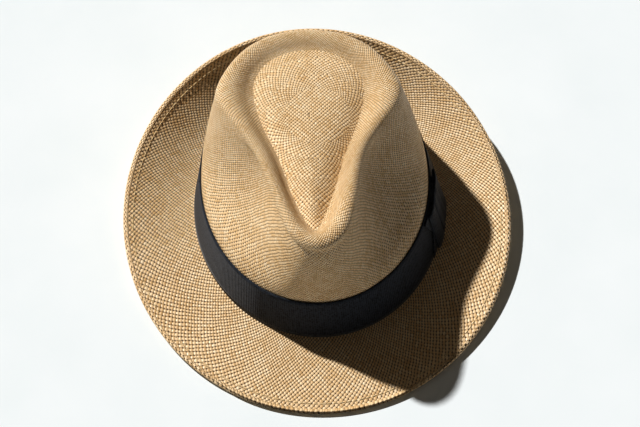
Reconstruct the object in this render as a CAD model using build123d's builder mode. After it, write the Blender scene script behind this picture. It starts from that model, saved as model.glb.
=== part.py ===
"""Woven straw hat with a teardrop crown, a ribbon band with a flat side bow, and a leather sweatband.

Millimetres, +Z up, the wearer faces -Y. The hat stands on a table at Z = 0 and the origin is under
the middle of its brim. The straw crown and brim are woven in one piece, so they are one solid.
"""
from build123d import *
from functools import cache
from math import atan2, cos, degrees, hypot, pi, radians, sin
import os

# Straw crown
straw = 1.5                 # thickness of the weave
oval_width = 172.0          # outside of the crown where it meets the brim
oval_length = 206.0
crown_setback = 15.0        # the crown stands this far behind the middle of the brim
break_height = 2.4          # underside of the brim where it meets the crown, above the table
band_top_width = 159.0      # outside of the crown at the top of the ribbon
band_top_length = 198.0
crown_height = 101.6        # from the break to the top of the crest
crest_round = 4.5           # height of the rounding on the outside of the crest
crest_land = 5.0            # how far in from the crest outline the crease starts
crease_depth = 12.0         # from the top of the crest to the bottom of the crease
dome_rise = 7.0             # the middle of the teardrop stands this far above the crease
dome_middle = 12.0          # the dome's highest point behind the crown's centre
pinch_angle = 58.0          # each front pinch, in degrees from the hat's side
pinch_spread = 26.0

# Half outlines seen from above, measured from the crown's centre, from the nose round to the back
crest_outline = [
    (0, -91), (16, -82), (24, -64), (30, -41), (37, -17),
    (52, 8), (62, 29), (57, 49), (40, 71), (0, 84),
]
crease_outline = [
    (0, -72), (5, -66), (12, -49), (17, -33), (23, -13),
    (31, 7), (36, 25), (37, 40), (28, 57), (0, 67),
]

# Brim, as it stands after it has been curled
brim_width = 266.0
brim_length = 288.0
side_edge = 13.0            # underside of the brim's edge above the table, at the sides
back_edge = 35.0
curl = 1.7                  # how late the brim turns up: 1 is straight
brim_root = 6.0             # the brim sheet runs this far into the crown before the two are joined

# Hem: the straw is turned under at the edge and stitched down
hem_width = 8.0
hem_thickness = 1.0
hem_gap = 0.1               # between the brim and the turned-under ply
hem_stitch_inset = 6.5      # from the brim's edge to the line of stitches
hem_stitch_count = 108
hem_stitch_length = 4.6
thread = 0.5
thread_seat = 0.15          # a stitch stands this far off the face it is drawn down on

# Ribbon band and bow
ribbon = 0.6
ribbon_gap = 0.2            # between the straw and the ribbon
layer_gap = 0.1             # between one layer of ribbon and the next
band_low = 0.7              # lower edge of the ribbon above the top of the brim at the break
band_height = 40.0
bow_centre = 16.0           # the bow's middle in front of the crown's centre
loop_half_length = 19.5
loop_space = 0.6            # air inside the folded loop
loop_margin = 1.6           # the loop is this much lower than the band at each edge
tail_front = 27.0           # the tail reaches this far forward of the knot's middle
tail_back = 14.0
tail_notch = 8.0
knot_width = 15.0
tack_length = 3.0
tack_inset = 3.0            # middle of each tack below the ribbon's upper edge
tack_angles = (-90, 90, 180)

# Sweatband
leather = 1.2
sweat_gap = 0.2             # between the leather and the straw
sweat_height = 32.0
reed_radius = 1.1
reed_gap = 0.05             # between the reed and the leather's lower edge
sweat_stitch_height = 2.2   # above the leather's lower edge
sweat_stitch_count = 96
sweat_stitch_length = 3.2
tape_width = 16.0
tape_thickness = 0.5
rear_bow_width = 26.0
rear_bow_height = 9.0
rear_bow_thickness = 0.5
rear_bow_space = 0.8
rear_knot_width = 5.0

# Heights above the table
wall_foot = break_height + straw / 2          # the crown wall starts inside the brim's thickness
band_foot = break_height + straw + band_low
band_head = band_foot + band_height
crest_top = break_height + crown_height
crest_side = crest_top - crest_round
low_bulge = band_head + 0.28 * (crest_side - band_head)
bulge = band_head + 0.56 * (crest_side - band_head)
shoulder = band_head + 0.84 * (crest_side - band_head)
crease_foot = crest_top - crease_depth
reed_height = reed_radius
sweat_foot = reed_height + reed_radius + reed_gap
sweat_head = sweat_foot + sweat_height

# Layers outwards from the crown, each from its inner face
band_in = ribbon_gap
tail_in = band_in + ribbon + layer_gap
loop_in = tail_in + ribbon + layer_gap
loop_out = loop_in + 2 * ribbon + loop_space
knot_in = loop_out + layer_gap
knot_out = knot_in + ribbon

# Layers inwards from the crown's outside
sweat_in = straw + sweat_gap
sweat_out = sweat_in + leather
tape_in = sweat_out + layer_gap
tape_out = tape_in + tape_thickness
rear_in = tape_out + layer_gap
rear_out = rear_in + 2 * rear_bow_thickness + rear_bow_space


def around(count):
    """Evenly spaced directions."""
    return [2 * pi * k / count for k in range(count)]


def full_outline(half):
    """A half outline from the nose to the back, and its mirror image, as one ring of points."""
    return half + [(-x, y) for x, y in half[-2:0:-1]]


def oval_reach(width, length, angle):
    """Distance from an ellipse's centre to its edge in a direction."""
    return 1 / hypot(cos(angle) / (width / 2), sin(angle) / (length / 2))


def closed_curve(points, steps):
    """A smooth closed curve through points, with its parameter at each point given by steps."""
    return Edge.make_spline([Vector(*p) for p in points], periodic=True, parameters=steps)


def ring(height, reaches, directions):
    """A closed face at a height, from the crown centre's reach in each direction."""
    points = [(reach * cos(a), crown_setback + reach * sin(a)) for reach, a in zip(reaches, directions)]
    with BuildSketch(Plane.XY.offset(height)) as sketch:
        with BuildLine():
            add(closed_curve(points, ring_steps))
        make_face()
    return sketch.sketch


crest = full_outline(crest_outline)
directions = [atan2(y, x) for x, y in crest]
crest_reach = [hypot(x, y) for x, y in crest]
break_reach = [oval_reach(oval_width, oval_length, a) for a in directions]
band_reach = [oval_reach(band_top_width, band_top_length, a) for a in directions]


def chords(reaches):
    """Distances between neighbouring points of a ring."""
    points = [(r * cos(a), r * sin(a)) for r, a in zip(reaches, directions)]
    return [hypot(x2 - x1, y2 - y1) for (x1, y1), (x2, y2) in zip(points, points[1:] + points[:1])]


# Every ring of the crown shares one parameter, halfway between the crest's and the break's
ring_chords = [(c + b) / 2 for c, b in zip(chords(crest_reach), chords(break_reach))]
ring_steps = [sum(ring_chords[:k]) / sum(ring_chords) for k in range(len(ring_chords) + 1)]


def pinch(angle):
    """1 in the middle of a front pinch, falling to 0 round the sides and the nose."""
    away = abs(abs(degrees(angle) + 90) - (90 - pinch_angle)) / pinch_spread
    return max(0, 1 - away * away) if sin(angle) < 0 else 0


def between(full, hollow):
    """Reach part of the way from ribbon to crest: full where the wall bulges, hollow in a pinch."""
    parts = [full + (hollow - full) * pinch(a) for a in directions]
    return [b + (c - b) * part for b, c, part in zip(band_reach, crest_reach, parts)]


@cache
def crown_wall(inset, foot_drop=0.0, top_drop=0.0, top_draw=crest_land * 0.6):
    """The solid inside the crown's outer surface moved in by inset, with a flat top."""
    run_on = foot_drop / (band_head - wall_foot)
    foot_reach = [b + (b - top) * run_on for b, top in zip(break_reach, band_reach)]
    with BuildPart() as wall:
        loft([
            ring(wall_foot - foot_drop, [r - inset for r in foot_reach], directions),
            ring(band_head, [r - inset for r in band_reach], directions),
            ring(low_bulge, [r - inset for r in between(0.05, 0.33)], directions),
            ring(bulge, [r - inset for r in between(0.16, 0.63)], directions),
            ring(shoulder, [r - inset for r in between(0.46, 0.88)], directions),
            ring(crest_side - inset, [r - inset for r in crest_reach], directions),
            ring(crest_top - inset - top_drop, [r - inset - top_draw for r in crest_reach], directions),
        ], ruled=True)
    return wall.part


def teardrop(height, share, grow):
    """A teardrop face between the crest's inner edge (share 0) and the crease's bottom (share 1)."""
    points = []
    for (top_x, top_y), (low_x, low_y) in zip(crest, full_outline(crease_outline)):
        land = 1 - crest_land / hypot(top_x, top_y)
        rest = land * (1 - share)
        points.append((top_x * rest + low_x * share, top_y * rest + low_y * share))
    return ring(height, [hypot(x, y) + grow for x, y in points], [atan2(y, x) for x, y in points])


def dome_face(height, share):
    """The crease's outline drawn towards the dome's middle by share."""
    points = [(x * share, dome_middle + (y - dome_middle) * share) for x, y in full_outline(crease_outline)]
    return ring(height, [hypot(x, y) for x, y in points], [atan2(y, x) for x, y in points])


def crown_block(inset, **top):
    """The crown with its creased top, moved in by inset everywhere."""
    foot = crease_foot - inset
    with BuildPart() as block:
        add(crown_wall(inset, **top))
        loft([
            teardrop(crest_top + 1, -0.1, inset),
            teardrop(crest_top - crease_depth * 0.4, 0.4, inset),
            teardrop(crest_top - crease_depth * 0.8, 0.75, inset),
            teardrop(foot, 1, inset),
        ], ruled=True, mode=Mode.SUBTRACT)
        loft([
            dome_face(foot - straw, 0.92),
            dome_face(foot + dome_rise * 0.5, 0.72),
            dome_face(foot + dome_rise * 0.85, 0.45),
            dome_face(foot + dome_rise, 0.2),
        ], ruled=True)
    return block.part


def edge_height(angle):
    """Underside of the single straw at the brim's edge: low in front, highest at the back."""
    front_edge = hem_thickness + hem_gap
    rise = (back_edge - front_edge) / 2
    bow = (back_edge + front_edge) / 2 - side_edge
    return side_edge + rise * sin(angle) + bow * sin(angle) ** 2


def brim_point(angle, reach):
    """A point on the brim's underside: reach is 0 at the crown and 1 at the edge."""
    inner = Vector(oval_width / 2 * cos(angle), oval_length / 2 * sin(angle) + crown_setback)
    outer = Vector(brim_width / 2 * cos(angle), brim_length / 2 * sin(angle))
    spot = inner + (outer - inner) * reach
    lift = max(reach, 0) ** curl
    return Vector(spot.X, spot.Y, break_height + (edge_height(angle) - break_height) * lift)


def brim_normal(angle, reach):
    """The direction straight up out of the brim's slope."""
    here = brim_point(angle, reach)
    outward = brim_point(angle, reach + 0.01) - here
    ahead = brim_point(angle + 0.01, reach) - here
    return outward.cross(ahead).normalized()


def edge_share(angle, inset):
    """The reach that lies a distance in from the brim's edge."""
    inner = Vector(oval_width / 2 * cos(angle), oval_length / 2 * sin(angle) + crown_setback)
    outer = Vector(brim_width / 2 * cos(angle), brim_length / 2 * sin(angle))
    run = hypot((outer - inner).length, edge_height(angle) - break_height)
    return 1 - inset / run


def brim_loop(reach_at, below=0.0):
    """A closed curve round the brim, with its reach given for each direction, some way under the slope."""
    points = [brim_point(a, reach_at(a)) - brim_normal(a, reach_at(a)) * below for a in around(24)]
    return Wire([closed_curve(points, [k / 24 for k in range(25)])])


def brim_sheet(loops, thickness):
    """A sheet through closed curves, thickened upwards."""
    with BuildPart() as sheet:
        for face in Shell.make_loft(loops).faces():
            thicken(face, amount=thickness, normal_override=(0, 0, 1))
    return sheet.part


def wall_block(reach, low, high, x=(-oval_width, oval_width), y=(-oval_length, oval_length)):
    """The crown grown by reach and cut down to a range of heights and, from its centre, of X and Y."""
    with BuildPart() as block:
        add(crown_wall(-reach, foot_drop=wall_foot))
        with BuildSketch(Plane.XY.offset(low)):
            with Locations(((x[0] + x[1]) / 2, crown_setback + (y[0] + y[1]) / 2)):
                Rectangle(x[1] - x[0], y[1] - y[0])
        extrude(amount=high - low, mode=Mode.INTERSECT)
    return block.part


def wall_layer(near, far, low, high, **window):
    """A layer that follows the crown between two distances out from it, or in if they are negative."""
    outside = wall_block(max(near, far), low, high, **window)
    with BuildPart() as layer:
        add(outside)
        add(crown_wall(-min(near, far), foot_drop=wall_foot), mode=Mode.SUBTRACT)
    return layer.part


def wall_reach(angle, height):
    """The lower crown's reach in a direction, at a height below the top of the ribbon."""
    share = (height - wall_foot) / (band_head - wall_foot)
    width = oval_width + (band_top_width - oval_width) * share
    length = oval_length + (band_top_length - oval_length) * share
    return oval_reach(width, length, angle)


def wall_place(angle, height, out):
    """A plane on the crown: X along the wall, Z straight out, a distance out from the straw."""
    reach = wall_reach(angle, height) + out
    here = Vector(reach * cos(angle), crown_setback + reach * sin(angle), height)
    along = Vector(-sin(angle), cos(angle), 0)
    return Plane(origin=here, x_dir=along, z_dir=Vector(cos(angle), sin(angle), 0))


def hem_place(angle):
    """A plane on top of the brim over the hem's stitch line, X along the line."""
    here = brim_point(angle, edge_share(angle, hem_stitch_inset))
    ahead = brim_point(angle + 0.02, edge_share(angle + 0.02, hem_stitch_inset))
    outward = brim_point(angle, edge_share(angle, hem_stitch_inset - 1)) - here
    up = outward.cross(ahead - here).normalized()
    return Plane(origin=here + up * (straw + thread_seat + thread / 2), x_dir=ahead - here, z_dir=up)


inner_reach = -brim_root * 2 / (brim_width - oval_width)
crown_outside = crown_block(0)
crown_inside = crown_block(straw, foot_drop=wall_foot, top_drop=1.2, top_draw=crest_land * 0.3)
brim_straw = brim_sheet([brim_loop(lambda a, r=r: r) for r in (inner_reach, 0, 0.35, 0.7, 1)], straw)
hem_straw = brim_sheet([
    brim_loop(lambda a: edge_share(a, hem_width), hem_thickness + hem_gap),
    brim_loop(lambda a: edge_share(a, hem_width / 2), hem_thickness + hem_gap),
    brim_loop(lambda a: 1, hem_thickness + hem_gap),
], hem_thickness)

with BuildPart() as straw_body:
    add(crown_outside)
    add(brim_straw)
    add(crown_inside, mode=Mode.SUBTRACT)
straw_body.part.label = "straw_body"

with BuildPart() as brim_hem:
    add(hem_straw)
brim_hem.part.label = "brim_hem"

with BuildPart() as hem_stitches:
    with Locations(*[hem_place(a) for a in around(hem_stitch_count)]):
        Box(hem_stitch_length, thread, thread)
hem_stitches.part.label = "hem_stitches"

# The ribbon band goes right round. Its ends meet under the bow.
band_layer = wall_layer(band_in, band_in + ribbon, band_foot, band_head)
with BuildPart() as hat_band:
    add(band_layer)
hat_band.part.label = "hat_band"

with BuildPart() as band_tacks:
    tack_height = band_head - tack_inset
    with Locations(*[wall_place(radians(a), tack_height, tail_in + thread / 2) for a in tack_angles]):
        Box(thread, tack_length, thread)
band_tacks.part.label = "band_tacks"

# The flat bow lies on the band at the wearer's left: a cut tail, a folded loop, and a wrap round both
loop_low = band_foot + loop_margin
loop_high = band_head - loop_margin
bow_x = (0, oval_width)
tail_y = (-bow_centre - tail_front, -bow_centre + tail_back)
loop_y = (-bow_centre - loop_half_length, -bow_centre + loop_half_length)
space_y = (loop_y[0] + ribbon, loop_y[1] - ribbon)
knot_y = (-bow_centre - knot_width / 2, -bow_centre + knot_width / 2)

tail_layer = wall_layer(tail_in, tail_in + ribbon, loop_low, loop_high, x=bow_x, y=tail_y)
with BuildPart() as bow_tail:
    add(tail_layer)
    with BuildSketch(Plane.YZ):
        with BuildLine():
            Polyline(
                (crown_setback + tail_y[0] - 1, loop_low - 1),
                (crown_setback + tail_y[0] + tail_notch, (loop_low + loop_high) / 2),
                (crown_setback + tail_y[0] - 1, loop_high + 1),
                close=True,
            )
        make_face()
    extrude(amount=oval_width, mode=Mode.SUBTRACT)
bow_tail.part.label = "bow_tail"

loop_layer = wall_layer(loop_in, loop_out, loop_low, loop_high, x=bow_x, y=loop_y)
loop_air = wall_layer(loop_in + ribbon, loop_out - ribbon, loop_low, loop_high, x=bow_x, y=space_y)
with BuildPart() as bow_loop:
    add(loop_layer)
    add(loop_air, mode=Mode.SUBTRACT)
bow_loop.part.label = "bow_loop"

wrap_low = loop_low - layer_gap
wrap_high = loop_high + layer_gap
wrap_layer = wall_layer(tail_in, knot_out, wrap_low - ribbon, wrap_high + ribbon, x=bow_x, y=knot_y)
wrap_space = wall_layer(tail_in, knot_in, wrap_low, wrap_high, x=bow_x, y=knot_y)
with BuildPart() as bow_knot:
    add(wrap_layer)
    add(wrap_space, mode=Mode.SUBTRACT)
bow_knot.part.label = "bow_knot"

# The sweatband stands on the reed, against the straw
leather_layer = wall_layer(-sweat_out, -sweat_in, sweat_foot, sweat_head)
with BuildPart() as sweatband:
    add(leather_layer)
sweatband.part.label = "sweatband"

reed_inset = sweat_in + leather / 2
with BuildPart() as sweatband_reed:
    with BuildSketch(Plane.XY.offset(reed_height)):
        with Locations((0, crown_setback)):
            Ellipse(oval_width / 2 - reed_inset + reed_radius, oval_length / 2 - reed_inset + reed_radius)
            Ellipse(oval_width / 2 - reed_inset - reed_radius, oval_length / 2 - reed_inset - reed_radius,
                    mode=Mode.SUBTRACT)
    extrude(amount=reed_radius, both=True)
    chamfer(sweatband_reed.edges(), reed_radius * 0.55)
sweatband_reed.part.label = "sweatband_reed"

stitch_row = sweat_foot + sweat_stitch_height
stitch_angles = around(sweat_stitch_count)
stitch_angles = [a for a in stitch_angles if abs(cos(a)) * oval_width > tape_width or sin(a) < 0]
stitch_depth = -sweat_out - thread_seat - thread / 2
with BuildPart() as sweatband_stitches:
    with Locations(*[wall_place(a, stitch_row, stitch_depth) for a in stitch_angles]):
        Box(sweat_stitch_length, thread, thread)
sweatband_stitches.part.label = "sweatband_stitches"

# A tape covers the leather's seam at the back, and a small bow of ribbon marks it
behind = (0, oval_length)
tape_x = (-tape_width / 2, tape_width / 2)
tape_layer = wall_layer(-tape_out, -tape_in, sweat_foot, sweat_head, x=tape_x, y=behind)
with BuildPart() as seam_tape:
    add(tape_layer)
seam_tape.part.label = "seam_tape"

rear_low = (sweat_foot + sweat_head - rear_bow_height) / 2
rear_high = rear_low + rear_bow_height
rear_x = (-rear_bow_width / 2, rear_bow_width / 2)
rear_space_x = (rear_x[0] + rear_bow_thickness, rear_x[1] - rear_bow_thickness)
rear_knot_x = (-rear_knot_width / 2, rear_knot_width / 2)
rear_layer = wall_layer(-rear_out, -rear_in, rear_low, rear_high, x=rear_x, y=behind)
rear_air = wall_layer(-rear_out + rear_bow_thickness, -rear_in - rear_bow_thickness, rear_low,
                      rear_high, x=rear_space_x, y=behind)
with BuildPart() as rear_bow_loop:
    add(rear_layer)
    add(rear_air, mode=Mode.SUBTRACT)
rear_bow_loop.part.label = "rear_bow_loop"

rear_wrap_low = rear_low - layer_gap
rear_wrap_high = rear_high + layer_gap
rear_wrap = wall_layer(-rear_out - layer_gap - rear_bow_thickness, -rear_in,
                       rear_wrap_low - rear_bow_thickness, rear_wrap_high + rear_bow_thickness,
                       x=rear_knot_x, y=behind)
rear_wrap_space = wall_layer(-rear_out - layer_gap, -rear_in, rear_wrap_low, rear_wrap_high,
                             x=rear_knot_x, y=behind)
with BuildPart() as rear_bow_knot:
    add(rear_wrap)
    add(rear_wrap_space, mode=Mode.SUBTRACT)
rear_bow_knot.part.label = "rear_bow_knot"

os.makedirs("parts", exist_ok=True)
straw_pieces = (straw_body, brim_hem, hem_stitches)
ribbon_pieces = (hat_band, band_tacks, bow_tail, bow_loop, bow_knot)
inner_pieces = (sweatband, sweatband_reed, sweatband_stitches, seam_tape, rear_bow_loop, rear_bow_knot)
for piece in straw_pieces + ribbon_pieces + inner_pieces:
    export_step(piece.part, f"parts/{piece.part.label}.step")
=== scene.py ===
"""A hand-woven straw hat with a teardrop crown, a black grosgrain band and bow, and a leather sweatband."""
import bpy
import numpy as np
from math import cos, pi, radians, sin
from mathutils import Matrix, Vector


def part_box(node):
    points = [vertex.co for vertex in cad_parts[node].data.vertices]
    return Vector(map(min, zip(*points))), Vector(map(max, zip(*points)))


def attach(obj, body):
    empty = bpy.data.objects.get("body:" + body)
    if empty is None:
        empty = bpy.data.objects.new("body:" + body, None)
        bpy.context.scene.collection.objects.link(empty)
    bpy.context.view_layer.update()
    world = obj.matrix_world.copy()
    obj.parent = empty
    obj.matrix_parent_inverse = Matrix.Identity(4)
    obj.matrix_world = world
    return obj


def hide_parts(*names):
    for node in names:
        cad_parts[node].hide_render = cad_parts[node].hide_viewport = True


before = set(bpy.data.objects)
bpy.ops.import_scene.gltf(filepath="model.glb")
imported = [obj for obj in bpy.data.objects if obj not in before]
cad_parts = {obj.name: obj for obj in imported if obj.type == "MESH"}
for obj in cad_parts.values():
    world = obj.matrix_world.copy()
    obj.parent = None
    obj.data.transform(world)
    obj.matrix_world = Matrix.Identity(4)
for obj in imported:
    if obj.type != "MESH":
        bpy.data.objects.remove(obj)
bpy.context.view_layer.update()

MM = 0.001


def box_mm(name):
    """A node's lowest and highest corners, in millimetres."""
    low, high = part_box(name)
    return np.array(low) / MM, np.array(high) / MM


# ---------------------------------------------------------------- sizes, in millimetres

straw_low, straw_high = box_mm("straw_body")
band_low, band_high = box_mm("hat_band")
loop_low, loop_high = box_mm("bow_loop")
knot_low, knot_high = box_mm("bow_knot")
tail_low, tail_high = box_mm("bow_tail")
sweat_low, sweat_high = box_mm("sweatband")
reed_low, reed_high = box_mm("sweatband_reed")
tape_low, tape_high = box_mm("seam_tape")
rear_low, rear_high = box_mm("rear_bow_loop")
rear_wrap_low, rear_wrap_high = box_mm("rear_bow_knot")

STRAW = 1.5                       # thickness of the weave
SETBACK = (band_low[1] + band_high[1]) / 2
BAND_FOOT, BAND_HEAD = band_low[2], band_high[2]
CREST_TOP = straw_high[2] + 1.1   # the crest's rounding stands above the solid's flat land
BREAK_FLOOR = 2.4                 # underside of the brim at the crown
BREAK_OVAL = (86.0, 103.0)        # half width and half length of the crown at the brim
BAND_OVAL = (77.6, 98.5)          # and at the top of the ribbon
WALL_FOOT = BREAK_FLOOR + STRAW / 2
BRIM_OVAL = (straw_high[0], (straw_high[1] - straw_low[1]) / 2)
FRONT_EDGE, SIDE_EDGE, BACK_EDGE = 1.1, 13.0, 35.0
CURL = 1.45
SPREAD, SPREAD_AT = 3.5, radians(142)     # steamed by hand, the brim spreads a little further here
HEM_WIDTH, HEM_PLY = 8.0, 1.1

# Half outlines from the nose to the back, seen from above, measured from the crown's centre
CREST = [(0, -91), (16, -82), (24, -64), (30, -41), (37, -17), (52, 8), (62, 29), (57, 49), (40, 71), (0, 84)]
CREASE = [(0, -72), (5, -66), (12, -49), (17, -33), (23, -13), (31, 7), (36, 25), (37, 40), (28, 57), (0, 67)]
CREASE_DEPTH = (12.0, 3.0)        # at the nose and at the back
DOME_RISE = 6.5
DOME_MIDDLE = 12.0
SWAY = 3.0                        # the crest's nose sits this much towards the bow
TUCK = 2.4                        # the front of the crest overhangs the wall by about this much
CREST_FALL = 4.0                  # the crest is this much lower at the back than at the nose
LEAN = -5.5                       # hand-blocked, the top of the crown sits a little to the wearer's right

COLUMNS = 240                     # columns of faces round the hat
BAND_COLUMNS, LEATHER_COLUMNS = 480, 360

# Strands round each region of the straw. Towards the middle of the dome they are fewer.
BRIM_STRANDS, WALL_STRANDS = 250, 220
DOME_STRANDS = [(190, 68), (134, 48), (95, 34), (67, 22)]     # each count holds outside this radius
DOME_START = 22.0                 # inside this radius the crown is begun as a plain square weave
STRAND_WIDTH = 1.9
HEM_ROWS, FOLD_ROWS = 5, 9        # rows of faces under the brim's turned edge and round its fold

# Ribbon and leather: thickness, and how far each layer's face lies out from the crown's wall or in from it
RIBBON, REAR_RIBBON = 0.6, 0.45
BAND_OUT, TAIL_OUT, LOOP_OUT, WRAP_OUT = 0.85, 1.75, 3.0, 1.7
LEATHER, TAPE = 1.1, 0.5
LEATHER_IN = STRAW + 1.55
TAPE_OVER_LEATHER = 0.6
REAR_LOOP_IN, REAR_WRAP_IN = 4.7, 4.2

# Stitches: length and radius of one, and where its row runs
HEM_STITCH, HEM_STITCH_PITCH, HEM_STITCH_INSET, HEM_STITCH_LIFT = (3.5, 0.36), 4.4, 6.5, 0.12
SWEAT_STITCH, SWEAT_STITCH_UP, SWEAT_STITCH_IN = (3.1, 0.3), 2.2, 1.75
SWEAT_STITCH_COUNT = 117
BACK_REACH = 100.0                # about how far the crown's back is from its centre
TACK, TACK_DROP, TACK_OUT = (3.0, 0.3), 3.0, 1.1

# Light and camera, in metres and degrees
KEY_FROM = (-0.515, 0.455, 0.727)
KEY_ENERGY, KEY_ANGLE = 4.4, 2.0
ROOM_COLOUR, ROOM_STRENGTH = "#efe5d6", 0.095
GAMMA = 0.86
ELEVATION, AZIMUTH, DISTANCE = 59.0, -2.0, 1.5
VIEW_WIDTH = 0.448                # of the table at the hat, from one side of the view to the other
FILM_WIDTH = 36.0                 # millimetres
AIM_HEIGHT, AIM_RIGHT, AIM_DOWN = 0.003, 0.0014, 0.0046
FLOOR_HALF, FLOOR_DROP = 3.0, 0.0002


# ---------------------------------------------------------------- curves and grids

def mirrored(half):
    """A half outline and its mirror image as one ring of points."""
    return np.array(half + [(-x, y) for x, y in half[-2:0:-1]], float)


def running(lengths):
    """Distance covered before each step, and after the last."""
    return np.concatenate([[0], np.cumsum(lengths)])


def closed_spline(points, steps, at):
    """A smooth closed curve through points whose parameters are steps, read at the given parameters."""
    count = len(points)
    gaps = np.diff(steps)
    system = np.zeros((count, count))
    pull = np.zeros_like(points)
    for k in range(count):
        before, after = gaps[k - 1], gaps[k]
        system[k, k - 1] += after
        system[k, k] += 2 * (before + after)
        system[k, (k + 1) % count] += before
        pull[k] = 3 * (after * (points[k] - points[k - 1]) / before
                       + before * (points[(k + 1) % count] - points[k]) / after)
    slopes = np.linalg.solve(system, pull)
    at = np.mod(at, 1)
    k = np.clip(np.searchsorted(steps, at, side="right") - 1, 0, count - 1)
    ahead = (k + 1) % count
    return hermite(points[k], points[ahead], slopes[k], slopes[ahead], gaps[k], (at - steps[k]) / gaps[k])


def hermite(start, end, start_slope, end_slope, gap, share):
    """Points between start and end with the given slopes."""
    share = np.asarray(share)[..., None]
    gap = np.asarray(gap)[..., None]
    rest = 1 - share
    return ((1 + 2 * share) * rest ** 2 * start + share * rest ** 2 * gap * start_slope
            + share ** 2 * (3 - 2 * share) * end - share ** 2 * rest * gap * end_slope)


def along_profile(keys, per_key):
    """Rows between key rings: keys is (rings, columns, 3), and per_key rows are made after each ring."""
    steps = np.linalg.norm(np.diff(keys, axis=0), axis=2).mean(axis=1)
    slopes = np.zeros_like(keys)
    chord = np.diff(keys, axis=0) / steps[:, None, None]
    slopes[0], slopes[-1] = chord[0], chord[-1]
    before, after = steps[:-1, None, None], steps[1:, None, None]
    slopes[1:-1] = (chord[:-1] * after + chord[1:] * before) / (before + after)
    rows = []
    for k, count in enumerate(per_key):
        for share in np.arange(count) / count:
            rows.append(hermite(keys[k], keys[k + 1], slopes[k], slopes[k + 1],
                                np.full(keys.shape[1], steps[k]), np.full(keys.shape[1], share)))
    rows.append(keys[-1])
    return np.array(rows)


def mesh_object(name, points, faces, material, uvs=None):
    """A mesh from points in millimetres, riding on the hat's one body."""
    mesh = bpy.data.meshes.new(name)
    mesh.from_pydata((np.asarray(points) * MM).tolist(), [], [tuple(int(i) for i in f) for f in faces])
    if uvs is not None:
        layer = mesh.uv_layers.new(name="weave")
        layer.data.foreach_set("uv", np.asarray(uvs, np.float32).ravel())
    mesh.polygons.foreach_set("use_smooth", [True] * len(mesh.polygons))
    mesh.materials.append(material)
    piece = bpy.data.objects.new(name, mesh)
    bpy.context.scene.collection.objects.link(piece)
    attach(piece, "root")
    return piece


def grid_faces(rows, columns, closed):
    """Quads of a grid, row by row. Each runs down, across, up and back."""
    last = columns if closed else columns - 1
    i, j = np.meshgrid(np.arange(rows - 1), np.arange(last), indexing="ij")
    right = (j + 1) % columns
    return np.stack([i * columns + j, i * columns + right, (i + 1) * columns + right, (i + 1) * columns + j],
                    axis=-1).reshape(-1, 4)


def quad_corners(grid):
    """The four corners of each quad of a grid, in the order that grid_faces gives."""
    return np.stack([grid[:-1, :-1], grid[:-1, 1:], grid[1:, 1:], grid[1:, :-1]], axis=2).reshape(-1, 4, 2)


def thicken(piece, thickness, offset=-1.0):
    """Gives a sheet its real thickness: -1 lays it behind the modelled face, 0 half each way, 1 before it."""
    shell = piece.modifiers.new("thickness", "SOLIDIFY")
    shell.thickness = thickness * MM
    shell.offset = offset
    shell.use_even_offset = False


# ---------------------------------------------------------------- the crown's shape

crest_points = mirrored(CREST)
crest_points[:, 0] += SWAY * np.interp(crest_points[:, 1], [-70, -20], [1, 0])
crease_points = mirrored(CREASE)
station_angle = np.arctan2(crest_points[:, 1], crest_points[:, 0])


def oval(half_width, half_length, angle):
    """Distance from an ellipse's centre to its edge."""
    return 1 / np.hypot(np.cos(angle) / half_width, np.sin(angle) / half_length)


def polar(reach, height):
    """Station points at a distance from the crown's centre."""
    return np.stack([reach * np.cos(station_angle), reach * np.sin(station_angle),
                     np.broadcast_to(height, reach.shape)], 1)


def pinch_at(angle):
    """1 in the hollow of a front pinch, falling to 0 round the sides and the nose."""
    from_nose = np.degrees(np.arccos(-np.sin(angle)))
    part = np.interp(from_nose, [6, 32, 58, 104], [0, 1, 1, 0])
    return part ** 2 * (3 - 2 * part)


def tuck_at(angle):
    """1 round the nose and the pinches, falling to 0 at the sides."""
    from_nose = np.degrees(np.arccos(-np.sin(angle)))
    part = np.interp(from_nose, [58, 100], [1, 0])
    return part ** 2 * (3 - 2 * part)


def chords(points):
    """Length of each side of a closed outline."""
    return np.linalg.norm(np.roll(points, -1, axis=0) - points, axis=1)


break_reach = oval(*BREAK_OVAL, station_angle)
band_reach = oval(*BAND_OVAL, station_angle)
crest_reach = np.hypot(crest_points[:, 0], crest_points[:, 1])
ring_chords = (chords(crest_points) + chords(polar(break_reach, 0)[:, :2])) / 2
ring_steps = running(ring_chords) / ring_chords.sum()
column_at = np.arange(COLUMNS) / COLUMNS


def key_ring(points):
    """A ring of station points read at every column."""
    return closed_spline(points, ring_steps, column_at)


def between(full, hollow):
    """Reach part of the way from ribbon to crest: full where the wall bulges, hollow in a pinch."""
    part = full + (hollow - full) * pinch_at(station_angle)
    return band_reach + (crest_reach - band_reach) * part


def crest_height():
    """The crest falls a little from the nose to the back."""
    share = (crest_points[:, 1] - crest_points[:, 1].min()) / np.ptp(crest_points[:, 1])
    return CREST_TOP - CREST_FALL * share ** 1.5


def towards_crease(share, height):
    """Station points between the crest's outline and the crease."""
    flat = crest_points * (1 - share) + crease_points * share
    return np.column_stack([flat, height])


def dome_ring(share, height):
    """The crease's outline drawn towards the dome's middle."""
    middle = np.array([0, DOME_MIDDLE])
    return np.column_stack([middle + (crease_points - middle) * share, height])


def crease_drop():
    """The crease is deepest at the nose."""
    share = (crease_points[:, 1] - crease_points[:, 1].min()) / np.ptp(crease_points[:, 1])
    return CREASE_DEPTH[0] + (CREASE_DEPTH[1] - CREASE_DEPTH[0]) * share ** 2


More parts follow.
